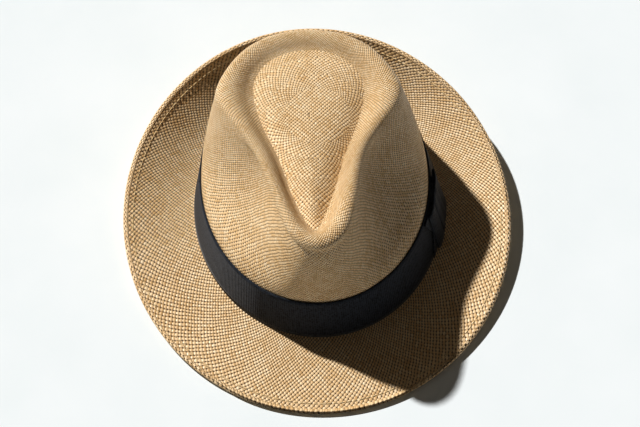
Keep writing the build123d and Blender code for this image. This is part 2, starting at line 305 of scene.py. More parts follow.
def wall_keys():
    """Key rings of the crown's outside, from the brim up over the crest to the crease."""
    top, drop, tuck = crest_height(), crease_drop(), TUCK * tuck_at(station_angle)
    rise = top - 4.5 - BAND_HEAD
    return [
        polar(break_reach - 0.1, WALL_FOOT + 1.0),
        polar((band_reach + break_reach) / 2, (WALL_FOOT + BAND_HEAD) / 2),
        polar(band_reach + (break_reach - band_reach) * 0.1, WALL_FOOT + (BAND_HEAD - WALL_FOOT) * 0.9),
        polar(band_reach, BAND_HEAD),
        polar(between(0.02, 0.07), BAND_HEAD + 0.08 * rise),
        polar(between(0.16, 0.42), BAND_HEAD + 0.30 * rise),
        polar(between(0.42, 0.80), BAND_HEAD + 0.58 * rise),
        polar(between(0.74, 1.0) - 0.4 * tuck, BAND_HEAD + 0.82 * rise),
        polar(between(0.88, 1.0) - tuck, top - 8.2),
        towards_crease(0.0, top - 4.0),
        towards_crease(0.06, top - 1.8),
        towards_crease(0.17, top - 0.35),
        towards_crease(0.33, top),
        towards_crease(0.50, top - 0.10 * drop),
        towards_crease(0.67, top - 0.40 * drop),
        towards_crease(0.84, top - 0.82 * drop),
        towards_crease(1.0, top - drop),
    ]


def dome_keys():
    """Key rings from the crease up to the middle of the dome."""
    foot = crest_height() - crease_drop()
    middle = foot.mean() + DOME_RISE
    rises = [(1.0, 0.0), (0.94, 0.15), (0.84, 0.41), (0.68, 0.70), (0.45, 0.90), (0.22, 0.99)]
    rings = [dome_ring(share, foot + part * (middle - foot)) for share, part in rises]
    return rings + [dome_ring(0.01, np.full(len(foot), middle + 0.2))]


def lean(points):
    """Shifts the crown sideways little by little from the brim up to the crest."""
    moved = points.copy()
    moved[..., 0] += LEAN * np.clip((points[..., 2] - WALL_FOOT) / (CREST_TOP - WALL_FOOT), 0, 1)
    return moved


# ---------------------------------------------------------------- the brim's shape

def edge_height(angle):
    """Underside of the brim's edge: low in front, highest at the back."""
    rise = (BACK_EDGE - FRONT_EDGE) / 2
    bow = (BACK_EDGE + FRONT_EDGE) / 2 - SIDE_EDGE
    return SIDE_EDGE + rise * np.sin(angle) + bow * np.sin(angle) ** 2


def brim_points(angle, reach):
    """The brim's underside: reach is 0 at the crown and 1 at the edge."""
    inner = np.stack([BREAK_OVAL[0] * np.cos(angle), BREAK_OVAL[1] * np.sin(angle) + SETBACK], -1)
    spread = 1 + SPREAD / BRIM_OVAL[0] * np.clip(np.cos(angle - SPREAD_AT), 0, 1) ** 2
    outer = np.stack([BRIM_OVAL[0] * np.cos(angle) * spread, BRIM_OVAL[1] * np.sin(angle) * spread], -1)
    spot = inner + (outer - inner) * reach[..., None]
    height = BREAK_FLOOR + (edge_height(angle) - BREAK_FLOOR) * np.clip(reach, 0, None) ** CURL
    return np.concatenate([spot, height[..., None]], -1)


def brim_top(angle, reach, above):
    """Points over the brim's underside, a distance along its normal."""
    step = 1e-3
    base = brim_points(angle, reach)
    out = brim_points(angle, reach + step) - base
    round_it = brim_points(angle + step, reach) - base
    normal = np.cross(out, round_it)
    normal /= np.linalg.norm(normal, axis=-1, keepdims=True)
    return base + normal * np.asarray(above)[..., None]


def edge_run(angle):
    """Length of the brim's slope from crown to edge."""
    chord = brim_points(angle, np.ones_like(angle)) - brim_points(angle, np.zeros_like(angle))
    return np.linalg.norm(chord, axis=-1)


# ---------------------------------------------------------------- materials

def linear(hex_colour):
    """An sRGB hex colour as linear RGBA."""
    parts = [int(hex_colour[k:k + 2], 16) / 255 for k in (1, 3, 5)]
    return tuple(p / 12.92 if p <= 0.04045 else ((p + 0.055) / 1.055) ** 2.4 for p in parts) + (1.0,)


MATH, NOISE = "ShaderNodeMath", "ShaderNodeTexNoise"
RAMP, RANDOM = "ShaderNodeValToRGB", "ShaderNodeTexWhiteNoise"


def add(tree, kind, sockets=None, stops=(), **settings):
    """Adds a node with its settings, and sets or links its inputs.
    Stops are a colour ramp's places and colours."""
    node = tree.nodes.new(kind)
    for name, value in settings.items():
        setattr(node, name, value)
    if stops:
        elements = node.color_ramp.elements
        elements.remove(elements[1])
        elements[0].position, elements[0].color = stops[0][0], linear(stops[0][1])
        for place, colour in stops[1:]:
            elements.new(place).color = linear(colour)
    for key, value in (sockets or {}).items():
        if isinstance(value, bpy.types.NodeSocket):
            tree.links.new(value, node.inputs[key])
        else:
            node.inputs[key].default_value = value
    return node


def new_material(name):
    """An empty material with its output node."""
    material = bpy.data.materials.new(name)
    material.use_nodes = True
    material.node_tree.nodes.clear()
    return material, material.node_tree


def close_material(tree, colour, roughness, height, distance, **sockets):
    """A surface shader with a bump, linked to the output."""
    bump = add(tree, "ShaderNodeBump", {"Height": height, "Distance": distance * MM, "Strength": 1.0})
    surface = add(tree, "ShaderNodeBsdfPrincipled",
                  {"Base Color": colour, "Roughness": roughness, "Normal": bump.outputs[0]})
    for name, value in sockets.items():
        surface.inputs[name.replace("_", " ")].default_value = value
    add(tree, "ShaderNodeOutputMaterial", {"Surface": surface.outputs[0]})


def palm_straw(name):
    """Toquilla palm, split, bleached and woven by hand: flat matt strands in slightly different shades of
    tan, over and under one another, with painted shade in the pinhole where four meet and a painted
    shadow line beside each."""
    material, tree = new_material(name)
    weave = add(tree, "ShaderNodeUVMap", uv_map="weave")
    place = add(tree, "ShaderNodeTexCoord").outputs["Object"]
    # worked by hand, the strands wander by less than a tenth of their width about every 6 mm
    wander = add(tree, NOISE, {"Vector": place, "Scale": 160.0, "Detail": 2.0}).outputs["Color"]
    moved = add(tree, "ShaderNodeVectorMath", {0: wander, 1: (0.75, 0.75, 0.0), 2: weave.outputs[0]},
                operation="MULTIPLY_ADD").outputs[0]
    both = add(tree, "ShaderNodeSeparateXYZ", {0: moved})
    u, v = both.outputs[0], both.outputs[1]
    row_u = add(tree, MATH, {0: u}, operation="FLOOR").outputs[0]
    row_v = add(tree, MATH, {0: v}, operation="FLOOR").outputs[0]
    total = add(tree, MATH, {0: row_u, 1: row_v}, operation="ADD").outputs[0]
    over = add(tree, MATH, {0: total, 1: 2.0}, operation="FLOORED_MODULO").outputs[0]
    side_u = add(tree, MATH, {0: u, 1: 0.5}, operation="PINGPONG").outputs[0]
    side_v = add(tree, MATH, {0: v, 1: 0.5}, operation="PINGPONG").outputs[0]
    # 0 in the middle of a strand's width or of its visible length, and 1 at the ends
    edge_u = add(tree, MATH, {0: side_u, 1: -2.0, 2: 1.0}, operation="MULTIPLY_ADD").outputs[0]
    edge_v = add(tree, MATH, {0: side_v, 1: -2.0, 2: 1.0}, operation="MULTIPLY_ADD").outputs[0]
    swap = add(tree, MATH, {0: edge_v, 1: edge_u}, operation="SUBTRACT").outputs[0]
    across = add(tree, MATH, {0: swap, 1: over, 2: edge_u}, operation="MULTIPLY_ADD").outputs[0]
    back = add(tree, MATH, {0: edge_u, 1: edge_v}, operation="SUBTRACT").outputs[0]
    length = add(tree, MATH, {0: back, 1: over, 2: edge_v}, operation="MULTIPLY_ADD").outputs[0]
    round_off = add(tree, MATH, {0: across, 1: 3.0}, operation="POWER").outputs[0]
    dip = add(tree, MATH, {0: length, 1: 2.0}, operation="POWER").outputs[0]
    both_low = add(tree, MATH, {0: round_off, 1: dip}, operation="ADD").outputs[0]
    height = add(tree, MATH, {0: both_low, 1: -0.5, 2: 1.0}, operation="MULTIPLY_ADD").outputs[0]
    # each strand has a number of its own, the same all the way round the hat
    strands = add(tree, "ShaderNodeAttribute", attribute_name="strands",
                  attribute_type="GEOMETRY").outputs["Fac"]
    other = add(tree, MATH, {0: row_v, 1: row_u}, operation="SUBTRACT").outputs[0]
    strand = add(tree, MATH, {0: other, 1: over, 2: row_u}, operation="MULTIPLY_ADD").outputs[0]
    numbered = add(tree, MATH, {0: strand, 1: strands}, operation="FLOORED_MODULO").outputs[0]
    # the two families of strands never share a number
    family = add(tree, MATH, {0: over, 1: 701.3, 2: numbered}, operation="MULTIPLY_ADD").outputs[0]
    shade_of = add(tree, RANDOM, {"W": family}, noise_dimensions="1D").outputs["Value"]
    # each visible length of strand catches the light a little differently
    cell = add(tree, "ShaderNodeCombineXYZ", {0: row_u, 1: row_v}).outputs[0]
    fleck = add(tree, RANDOM, {"Vector": cell}, noise_dimensions="2D").outputs["Value"]
    # shade drifts along a strand about every 15 mm
    drift = add(tree, NOISE, {"Vector": place, "Scale": 70.0, "Detail": 2.0}).outputs[0]
    tone = add(tree, MATH, {0: drift, 1: 0.45, 2: -0.02}, operation="MULTIPLY_ADD").outputs[0]
    stepped = add(tree, MATH, {0: shade_of, 1: 0.22, 2: tone}, operation="MULTIPLY_ADD").outputs[0]
    mixed = add(tree, MATH, {0: fleck, 1: 0.42, 2: stepped}, operation="MULTIPLY_ADD", use_clamp=True)
    colours = add(tree, RAMP, {"Fac": mixed.outputs[0]},
                  stops=[(0.0, "#c69a62"), (0.3, "#e0bb87"), (0.55, "#efce9f"), (0.8, "#f8dcb2"),
                         (1.0, "#fce8c8")])
    # painted shade: the pinholes and the grooves beside each strand are darkened as shade, and on the brim a
    # painted shadow line runs down one side of every other set of strands
    corner = add(tree, MATH, {0: across, 1: length}, operation="MULTIPLY").outputs[0]
    pinhole_shade = add(tree, "ShaderNodeMapRange", {"Value": corner, 1: 0.32, 2: 0.76, 3: 0.0, 4: 1.0}).outputs[0]
    on_brim = add(tree, MATH, {0: strands, 1: WALL_STRANDS + 5.0}, operation="GREATER_THAN").outputs[0]
    on_dome = add(tree, MATH, {0: strands, 1: WALL_STRANDS - 5.0}, operation="LESS_THAN").outputs[0]
    line = add(tree, "ShaderNodeMapRange", {"Value": edge_v, 1: 0.62, 2: 0.95, 3: 0.0, 4: 1.0}).outputs[0]
    reach = add(tree, MATH, {0: edge_u, 1: 0.60, 2: 0.38}, operation="MULTIPLY_ADD").outputs[0]
    dash = add(tree, MATH, {0: line, 1: reach}, operation="MULTIPLY").outputs[0]
    brim_shadow_lines = add(tree, MATH, {0: dash, 1: on_brim}, operation="MULTIPLY").outputs[0]
    side = add(tree, "ShaderNodeMapRange", {"Value": across, 1: 0.70, 2: 1.0, 3: 0.0, 4: 0.30}).outputs[0]
    beside = add(tree, MATH, {0: brim_shadow_lines, 1: side}, operation="MAXIMUM").outputs[0]
    gap = add(tree, MATH, {0: pinhole_shade, 1: beside}, operation="MAXIMUM").outputs[0]
    # the dome is woven closer, so its painted gap shade is fainter than the wall's and the brim's, and no two
    # gaps are alike
    gap_shade_depth = add(tree, MATH, {0: on_dome, 1: -0.24, 2: 0.86}, operation="MULTIPLY_ADD").outputs[0]
    uneven_gap_shade = add(tree, MATH, {0: fleck, 1: 0.50, 2: gap_shade_depth}, operation="MULTIPLY_ADD").outputs[0]
    dark = add(tree, MATH, {0: gap, 1: uneven_gap_shade}, operation="MULTIPLY", use_clamp=True).outputs[0]
    # the painted shade's dark brown, mixed in over the pinholes, the grooves and the shadow lines
    colour = add(tree, "ShaderNodeMix", {"Factor": dark, 6: colours.outputs[0], 7: linear("#432710")},
                 data_type="RGBA").outputs[2]
    # the palm's own fibres, about 1 mm long
    fibre = add(tree, NOISE, {"Vector": place, "Scale": 900.0, "Detail": 1.0}).outputs[0]
    rough = add(tree, MATH, {0: fibre, 1: 0.12, 2: height}, operation="MULTIPLY_ADD").outputs[0]
    gloss = add(tree, MATH, {0: fibre, 1: 0.2, 2: 0.33}, operation="MULTIPLY_ADD").outputs[0]
    close_material(tree, colour, gloss, rough, 0.6, Specular_IOR_Level=0.5)
    return material


def grosgrain(name, dark, light):
    """Black cotton and rayon ribbon: close ribs across its width, dull with a faint sheen on each rib,
    painted lighter along each rib's crest.
    """
    material, tree = new_material(name)
    place = add(tree, "ShaderNodeUVMap", uv_map="weave")
    flat = add(tree, "ShaderNodeSeparateXYZ", {0: place.outputs[0]})
    # real ribs are 0.9 mm apart; drawn at 1.5 mm so that they show
    turn = add(tree, MATH, {0: flat.outputs[0], 1: 2 * pi / 1.5}, operation="MULTIPLY").outputs[0]
    wave = add(tree, MATH, {0: turn}, operation="SINE").outputs[0]
    rib = add(tree, MATH, {0: wave, 1: 0.5, 2: 0.5}, operation="MULTIPLY_ADD").outputs[0]
    thread = add(tree, NOISE, {"Vector": place.outputs[0], "Scale": 1.1, "Detail": 3.0}).outputs[0]
    tone = add(tree, MATH, {0: rib, 1: thread}, operation="MULTIPLY").outputs[0]
    # the pick of each weft thread over the warp, 1 mm a cell
    knots = add(tree, "ShaderNodeVectorMath", {0: place.outputs[0]}, operation="FLOOR").outputs[0]
    speck = add(tree, RANDOM, {"Vector": knots}, noise_dimensions="2D").outputs["Value"]
    picks_and_rib_sheen = add(tree, MATH, {0: speck, 1: 1.0, 2: tone}, operation="MULTIPLY_ADD").outputs[0]
    # colour: random tone from the picks, plus a painted sheen that lightens each rib's crest
    colour = add(tree, RAMP, {"Fac": picks_and_rib_sheen}, stops=[(0.0, dark), (0.9, light)]).outputs[0]
    height = add(tree, MATH, {0: thread, 1: 0.35, 2: rib}, operation="MULTIPLY_ADD").outputs[0]
    gloss = add(tree, MATH, {0: thread, 1: 0.2, 2: 0.6}, operation="MULTIPLY_ADD").outputs[0]
    close_material(tree, colour, gloss, height, 0.14,
                   Specular_IOR_Level=0.08, Sheen_Weight=0.22, Sheen_Roughness=0.35)
    return material


def sheep_leather(name, dark, light):
    """Drum-dyed sheepskin, rolled smooth: fine pebbled grain with soft wear."""
    material, tree = new_material(name)
    place = add(tree, "ShaderNodeTexCoord").outputs["Object"]
    # grain cells about 1 mm across
    cells = add(tree, "ShaderNodeTexVoronoi", {"Vector": place, "Scale": 950.0},
                feature="DISTANCE_TO_EDGE").outputs[0]
    # wear in patches about 17 mm across
    cloud = add(tree, NOISE, {"Vector": place, "Scale": 60.0, "Detail": 4.0}).outputs[0]
    grain = add(tree, "ShaderNodeMapRange", {"Value": cells, 1: 0.0, 2: 0.18}).outputs[0]
    colour = add(tree, RAMP, {"Fac": cloud}, stops=[(0.3, dark), (0.7, light)]).outputs[0]
    gloss = add(tree, MATH, {0: cloud, 1: 0.25, 2: 0.32}, operation="MULTIPLY_ADD").outputs[0]
    close_material(tree, colour, gloss, grain, 0.12, Specular_IOR_Level=0.45)
    return material


def sewing_thread(name, dark, light):
    """Two-ply cotton thread: a fine twist along each stitch."""
    material, tree = new_material(name)
    place = add(tree, "ShaderNodeTexCoord").outputs["Object"]
    # one turn of the ply about every 0.6 mm
    twist = add(tree, NOISE, {"Vector": place, "Scale": 1600.0, "Detail": 2.0}).outputs[0]
    colour = add(tree, RAMP, {"Fac": twist}, stops=[(0.3, dark), (0.7, light)]).outputs[0]
    gloss = add(tree, MATH, {0: twist, 1: 0.2, 2: 0.55}, operation="MULTIPLY_ADD").outputs[0]
    close_material(tree, colour, gloss, twist, 0.08)
    return material


def painted_floor(name):
    """A white studio sweep, matt, with the faintest mottling."""
    material, tree = new_material(name)
    place = add(tree, "ShaderNodeTexCoord").outputs["Object"]
    # roller marks about 70 mm across
    mottle = add(tree, NOISE, {"Vector": place, "Scale": 14.0, "Detail": 3.0}).outputs[0]
    colour = add(tree, RAMP, {"Fac": mottle}, stops=[(0.3, "#e9eeef"), (0.7, "#edf1f2")]).outputs[0]
    gloss = add(tree, MATH, {0: mottle, 1: 0.1, 2: 0.8}, operation="MULTIPLY_ADD").outputs[0]
    close_material(tree, colour, gloss, mottle, 0.02, Specular_IOR_Level=0.1)
    return material


straw_weave = palm_straw("toquilla_palm_weave")
band_ribbon = grosgrain("black_grosgrain", "#0a0b0e", "#363a42")
inner_ribbon = grosgrain("brown_grosgrain", "#1c100a", "#4a2c1c")
leather = sheep_leather("brown_sheepskin", "#4a2715", "#6e4024")
reed_leather = sheep_leather("brown_sheepskin_piping", "#3c1f10", "#5c341c")
straw_thread = sewing_thread("pale_cotton_thread", "#c9ad7c", "#e8d3a8")
black_thread = sewing_thread("black_cotton_thread", "#070707", "#1a1a1c")


# ---------------------------------------------------------------- straw crown and brim

def crown_columns():
    """Rows of points over the crown, from the brim up and in to the dome's middle."""
    keys = np.array([key_ring(points) for points in wall_keys()])
    wall = along_profile(keys, [4, 5, 2, 3, 8, 9, 8, 5, 5, 4, 4, 4, 5, 5, 5, 5])
    dome = along_profile(np.array([key_ring(points) for points in dome_keys()]), [5, 6, 8, 9, 8, 6])
    for part in (wall, dome):
        part[..., 1] += SETBACK
    return lean(wall), lean(dome)


def brim_columns(angle):
    """Rows of points from the hem's inner edge round the fold and over the brim to the crown."""
    hem_share = HEM_WIDTH / edge_run(angle)
    middle = (STRAW - HEM_PLY) / 2
    radius = (STRAW + HEM_PLY) / 2
    rows = [brim_top(angle, 1 - hem_share * share, np.full_like(angle, -HEM_PLY))
            for share in np.arange(HEM_ROWS, 0, -1) / HEM_ROWS]
    edge = brim_points(angle, np.ones_like(angle))
    top = brim_top(angle, np.ones_like(angle), np.ones_like(angle))
    up = top - edge
    tangent = brim_points(angle, np.ones_like(angle)) - brim_points(angle, np.full(angle.shape, 0.995))
    tangent /= np.linalg.norm(tangent, axis=-1, keepdims=True)
    start = edge - tangent * radius
    for turn in np.linspace(-pi / 2, pi / 2, FOLD_ROWS):
        rows.append(start + up * (middle + radius * sin(turn)) + tangent * radius * cos(turn))
    for reach in np.linspace(0.985, 0.02, 40):
        rows.append(brim_top(angle, np.full_like(angle, reach), np.full_like(angle, STRAW)))
    return np.array(rows)


def region_uvs(grid, count, start=0.0):
    """Weave coordinates of a region whose strands run at 45 degrees to its rows."""
    closed = np.concatenate([grid, grid[:, :1]], axis=1)
    round_it = np.linalg.norm(np.diff(closed, axis=1), axis=2).sum(axis=1)
    step = np.linalg.norm(np.diff(grid, axis=0), axis=2).mean(axis=1)
    middle = (round_it[1:] + round_it[:-1]) / 2
    depth = start + running(count * step / middle)
    turn = np.arange(grid.shape[1] + 1) / grid.shape[1] * count
    return turn, depth


def quad_uvs(turn, depth):
    """Weave coordinates of each corner of each quad of a region."""
    u = turn[None, :] + depth[:, None]
    v = turn[None, :] - depth[:, None]
    return quad_corners(np.stack([u, v], -1))


def dome_uvs(points, faces):
    """Weave coordinates that spiral out from the dome's middle, with fewer strands nearer to it."""
    corner = points[faces]
    x, y = corner[..., 0], corner[..., 1] - SETBACK - DOME_MIDDLE
    angle = np.arctan2(y, x)
    middle = np.arctan2(y.mean(axis=1), x.mean(axis=1))[:, None]
    angle = middle + np.mod(angle - middle + pi, 2 * pi) - pi
    reach = np.maximum(np.hypot(x, y), 0.4)
    face_reach = reach.mean(axis=1)
    counts = np.full(len(faces), DOME_STRANDS[-1][0])
    for count, outside in reversed(DOME_STRANDS):
        counts[face_reach >= outside] = count
    turn = angle / (2 * pi) * counts[:, None]
    depth = np.log(reach) / (2 * pi) * counts[:, None]
    rings = np.stack([turn + depth, turn - depth], -1)
    square = np.stack([x + y, x - y], -1) / STRAND_WIDTH / 2 ** 0.5
    return np.where((face_reach >= DOME_START)[:, None, None], rings, square), counts


def make_straw():
    """The woven straw: brim, crown and dome as one sheet, with the brim's edge turned under."""
    wall, dome = crown_columns()
    angle = np.arctan2((wall[0, :, 1] - SETBACK) / BREAK_OVAL[1], wall[0, :, 0] / BREAK_OVAL[0])
    brim = brim_columns(angle)
    outer = np.concatenate([brim, wall[:1]])
    points = np.concatenate([brim.reshape(-1, 3), wall.reshape(-1, 3), dome[1:].reshape(-1, 3)])
    rows = len(brim) + len(wall) + len(dome) - 1
    faces = grid_faces(rows, COLUMNS, True)
    split = len(brim) * COLUMNS
    crease = (len(brim) + len(wall) - 1) * COLUMNS
    turn_b, depth_b = region_uvs(outer, BRIM_STRANDS)
    turn_w, depth_w = region_uvs(wall, WALL_STRANDS)
    dome_corners, dome_counts = dome_uvs(points, faces[crease:])
    uvs = np.concatenate([quad_uvs(turn_b, depth_b), quad_uvs(turn_w, depth_w), dome_corners])
    folded = (HEM_ROWS + FOLD_ROWS) * COLUMNS
    counts = np.concatenate([np.full(folded, BRIM_STRANDS // 2), np.full(split - folded, BRIM_STRANDS),
                             np.full(crease - split, WALL_STRANDS), dome_counts])
    piece = mesh_object("woven_straw", points, faces, straw_weave, uvs)
    strands = piece.data.attributes.new("strands", "FLOAT", "FACE")
    strands.data.foreach_set("value", counts.astype(np.float32))
    thicken(piece, STRAW)
    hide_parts("straw_body", "brim_hem")


# ---------------------------------------------------------------- strips that follow the crown

def wall_spot(angle, height, out):
    """Points on the lower crown wall: an ellipse that narrows upwards, plus a distance outwards."""
    share = (height - WALL_FOOT) / (BAND_HEAD - WALL_FOOT)
    half_x = BREAK_OVAL[0] + (BAND_OVAL[0] - BREAK_OVAL[0]) * share
    half_y = BREAK_OVAL[1] + (BAND_OVAL[1] - BREAK_OVAL[1]) * share
    reach = 1 / np.hypot(np.cos(angle) / half_x, np.sin(angle) / half_y)
    x, y = reach * np.cos(angle), reach * np.sin(angle)
    normal = np.stack([x / half_x ** 2, y / half_y ** 2], -1)
    normal /= np.linalg.norm(normal, axis=-1, keepdims=True)
    return lean(np.stack([x + normal[..., 0] * out, y + normal[..., 1] * out + SETBACK, height + 0 * x], -1))


def arc_angles(count):
    """Angles spaced evenly by length round the lower wall, and the length itself."""
    fine = np.linspace(-pi, pi, 4001)
    spots = wall_spot(fine, np.full(fine.shape, (BAND_FOOT + BAND_HEAD) / 2), 0.0)
    run = running(np.linalg.norm(np.diff(spots, axis=0), axis=1))
    return np.interp(np.linspace(0, run[-1], count), run, fine), run[-1]


def angle_of(y_from_centre):
    """The wall angle, near +X, at which a point has a given Y from the crown's centre."""
    half_y = (BREAK_OVAL[1] + BAND_OVAL[1]) / 2
    half_x = (BREAK_OVAL[0] + BAND_OVAL[0]) / 2
    s = np.asarray(y_from_centre) / half_y
    return np.arctan2(half_y * s, half_x * np.sqrt(1 - s ** 2))


def strip(name, angle, heights, out, along, material, closed=False):
    """A ribbon or leather sheet: angle, out and along are (rows, columns) grids, UVs in millimetres."""
    grid = wall_spot(angle, heights, out)
    rows, columns = angle.shape
    faces = grid_faces(rows, columns, closed)
    steps = np.linalg.norm(np.diff(grid, axis=0), axis=2)
    width = np.cumsum(np.concatenate([np.zeros((1, columns)), steps]), axis=0)
    both = np.stack([along, width], -1)
    if closed:
        once_round = np.array([along[0, 1] - along[0, 0], 0]) * columns
        both = np.concatenate([both, both[:, :1] + once_round], axis=1)
    return mesh_object(name, grid.reshape(-1, 3), faces, material, quad_corners(both))


def folded_loop(half, count):
    """A flattened ring seen from its edge: place along the bow, and side from -1 behind to 1 in front."""
    turn = np.linspace(0, 2 * pi, count + 1)[:-1]
    flat = np.sign(np.cos(turn)) * np.abs(np.cos(turn)) ** 0.35 * half
    return flat, np.sign(np.sin(turn)) * np.abs(np.sin(turn)) ** 0.5


def make_band():
    """The grosgrain band, all the way round, hugging the crown with a little slack at its upper edge."""
    angles, run = arc_angles(BAND_COLUMNS + 1)
    angles = angles[:-1]
    share = np.linspace(0, 1, 11)[:, None]
    slack = 0.25 * np.sin(3 * angles + 0.6) + 0.2 * np.sin(7 * angles)
    out = BAND_OUT + 0.25 * slack[None, :] * share ** 2 + 0.18 * share ** 6
    height = BAND_FOOT + (BAND_HEAD - BAND_FOOT) * share + 0.25 * np.sin(2 * angles + 1)[None, :] * share
    grid_angle = np.broadcast_to(angles[None, :], out.shape)
    along = np.broadcast_to((np.arange(BAND_COLUMNS) * run / BAND_COLUMNS)[None, :], out.shape)
    piece = strip("ribbon_band", grid_angle, height, out, along, band_ribbon, closed=True)
    thicken(piece, RIBBON)
    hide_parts("hat_band")


def make_bow():
    """The flat bow: a cut tail, a folded loop over it, and the wrap that holds them."""
    y_tail = np.linspace(tail_low[1] - SETBACK, tail_high[1] - SETBACK, 60)
    low, high = tail_low[2], tail_high[2]
    share = np.linspace(0, 1, 17)[:, None]
    notch = 8.0 * (1 - np.abs(2 * share - 1))
    front = y_tail[0]
    squeeze = (y_tail[-1] - y_tail) / (y_tail[-1] - front)
    y = y_tail[None, :] + notch * squeeze[None, :]
    out = np.full(y.shape, TAIL_OUT) + 0.5 * squeeze[None, :] ** 3
    height = low + (high - low) * share + 0 * y
    tail = strip("bow_tail_ribbon", angle_of(y), height, out, y + 0 * share, band_ribbon)
    thicken(tail, RIBBON)
    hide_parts("bow_tail")

    y0, y1 = loop_low[1] - SETBACK, loop_high[1] - SETBACK
    middle, half = (y0 + y1) / 2, (y1 - y0) / 2
    flat, side = folded_loop(half, 120)
    puff = 0.55 + 0.9 * (1 - np.exp(-(flat / 9.0) ** 2)) * (1 - (np.abs(flat) / half) ** 6)
    out = LOOP_OUT + np.where(side > 0, side * puff, side * 0.45)
    low, high = loop_low[2], loop_high[2]
    share = np.linspace(0, 1, 13)[:, None]
    y = middle + flat[None, :] + 0 * share
    step = running(np.hypot(np.diff(flat), np.diff(out)))
    loop = strip("bow_loop_ribbon", angle_of(y), low + (high - low) * share + 0 * y, out[None, :] + 0 * share,
                 step[None, :] + 0 * share, band_ribbon, closed=True)
    thicken(loop, RIBBON, 0.0)
    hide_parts("bow_loop")

    y0, y1 = knot_low[1] - SETBACK, knot_high[1] - SETBACK
    low, high = knot_low[2], knot_high[2]
    share = np.linspace(0, 1, 33)[:, None]
    y_knot = np.linspace(y0, y1, 21)[None, :]
    lift = np.clip(np.minimum(share, 1 - share) * 22, 0, 1) ** 0.5
    folds = 0.22 * np.sin((y_knot - y0) / (y1 - y0) * 3 * pi)
    crown_of = 1 - ((y_knot - (y0 + y1) / 2) / (y1 - y0) * 2) ** 4
    out = WRAP_OUT + lift * (2.6 + 0.35 * crown_of + folds)
    height = low + (high - low) * share + 0 * y_knot
    knot = strip("bow_wrap_ribbon", angle_of(y_knot + 0 * share), height, out, height, band_ribbon)
    thicken(knot, RIBBON)
    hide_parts("bow_knot")


def leather_face(angle, share):
    """How far the leather's face lies from the crown's outside.
    Share runs from its foot to its upper edge."""
    wave = 0.35 * np.sin(5 * angle + 0.4) + 0.3 * np.sin(9 * angle + 2)
    return -LEATHER_IN - 0.35 * np.sin(pi * share) - 0.3 * wave * share ** 2


def make_sweatband():
    """The leather sweatband, eased into soft waves; the reed at its foot is a separate cord."""
    angles, run = arc_angles(LEATHER_COLUMNS + 1)
    angles = angles[:-1]
    low, high = sweat_low[2], sweat_high[2]
    share = np.concatenate([np.linspace(0, 0.2, 7), np.linspace(0.26, 1, 14)])[:, None]
    out = leather_face(angles[None, :], share)
    height = low + (high - low) * share + 0 * angles[None, :]
    along = np.broadcast_to((np.arange(LEATHER_COLUMNS) * run / LEATHER_COLUMNS)[None, :], out.shape)
    grid_angle = np.broadcast_to(angles[None, :], out.shape)
    piece = strip("leather_sweatband", grid_angle, height, out, along, leather, closed=True)
    thicken(piece, LEATHER, 1.0)
    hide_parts("sweatband")


def tube(name, path, radius, material, sides):
    """A round cord along a closed path of points."""
    path = np.asarray(path, float)
    ahead = np.roll(path, -1, axis=0) - np.roll(path, 1, axis=0)
    ahead /= np.linalg.norm(ahead, axis=1, keepdims=True)
    up = np.array([0, 0, 1.0])
    side = np.cross(ahead, up)
    side /= np.linalg.norm(side, axis=1, keepdims=True)
    over = np.cross(side, ahead)
    turn = np.linspace(0, 2 * pi, sides, endpoint=False)
    ring = side[:, None, :] * np.cos(turn)[None, :, None] + over[:, None, :] * np.sin(turn)[None, :, None]
    points = path[:, None, :] + ring * radius
    count = len(path)
    i, j = np.meshgrid(np.arange(count), np.arange(sides), indexing="ij")
    beyond, beside = ((i + 1) % count) * sides, (j + 1) % sides
    faces = np.stack([i * sides + j, beyond + j, beyond + beside, i * sides + beside], -1).reshape(-1, 4)
    return mesh_object(name, points.reshape(-1, 3), faces, material)


def make_reed():
    """The reed: a cord of leather under the sweatband's foot, which the hat rests on."""
    half = (reed_high - reed_low) / 2
    radius = half[2]
    angles = np.linspace(0, 2 * pi, 240, endpoint=False)
    path = np.stack([(half[0] - radius) * np.cos(angles), (half[1] - radius) * np.sin(angles) + SETBACK,
                     np.full(240, reed_low[2] + radius)], -1)
    piece = tube("leather_reed", path, radius, reed_leather, 12)
    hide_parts("sweatband_reed")


def stitches(name, places, size, material, *nodes):
    """Short rounded stitches. Each place is its middle, the way it runs and the way it faces."""
    length, radius = size
    lengthwise = np.array([-0.5, -0.42, -0.2, 0.2, 0.42, 0.5]) * length
    widths = np.array([0.25, 0.8, 1.0, 1.0, 0.8, 0.25]) * radius
    sink = np.array([-0.9, -0.35, 0, 0, -0.35, -0.9]) * radius
    turn = np.linspace(0, 2 * pi, 8, endpoint=False)
    points, faces = [], []
    for middle, ahead, up in places:
        base = len(points)
        side = np.cross(ahead, up)
        for x, width, drop in zip(lengthwise, widths, sink):
            for t in turn:
                points.append(middle + ahead * x + (side * cos(t) + up * sin(t)) * width + up * drop)
        for k in range(5):
            for j in range(8):
                a, b = base + k * 8 + j, base + k * 8 + (j + 1) % 8
                faces.append((a, b, b + 8, a + 8))
        faces.append(tuple(base + j for j in range(7, -1, -1)))
        faces.append(tuple(base + 40 + j for j in range(8)))
    piece = mesh_object(name, points, faces, material)
    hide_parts(*nodes)
    return piece


def unit(vector):
    """A vector of length 1 that points the same way."""
    return vector / np.linalg.norm(vector)


